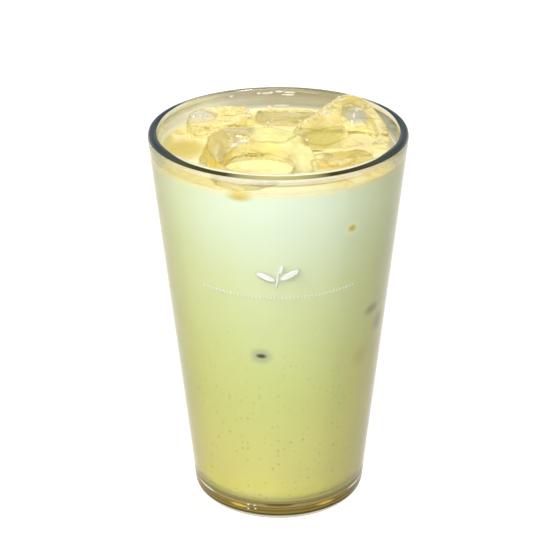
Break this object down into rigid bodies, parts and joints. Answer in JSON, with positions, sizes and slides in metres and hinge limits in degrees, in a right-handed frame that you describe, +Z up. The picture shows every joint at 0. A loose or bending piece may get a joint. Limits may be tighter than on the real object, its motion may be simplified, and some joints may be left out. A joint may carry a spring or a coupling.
{
  "type": "iced latte in a glass tumbler",
  "caption": "Tall clear tumbler with gently flared sides, filled nearly to the rim with a pale milky sweet potato drink in which part-melted hollow ice blocks float.",
  "frame": {"origin": "middle of the foot, on the surface that the glass stands on", "axes": "+Z up along the glass, -Y towards the drinker, +X to the drinker's right"},
  "size_m": [0.088, 0.088, 0.1426],
  "materials": {
    "clear_glass": "smooth fire-polished soda-lime glass",
    "milk_drink": "opaque milk with sweet potato, wet and smooth",
    "ice": "clear wet melting ice"
  },
  "bodies": {
    "root": {"glass_tumbler": "clear_glass", "latte": "milk_drink", "ice_front": "ice", "ice_left": "ice", "ice_peak": "ice", "ice_back": "ice", "ice_right": "ice"}
  },
  "joints": []
}
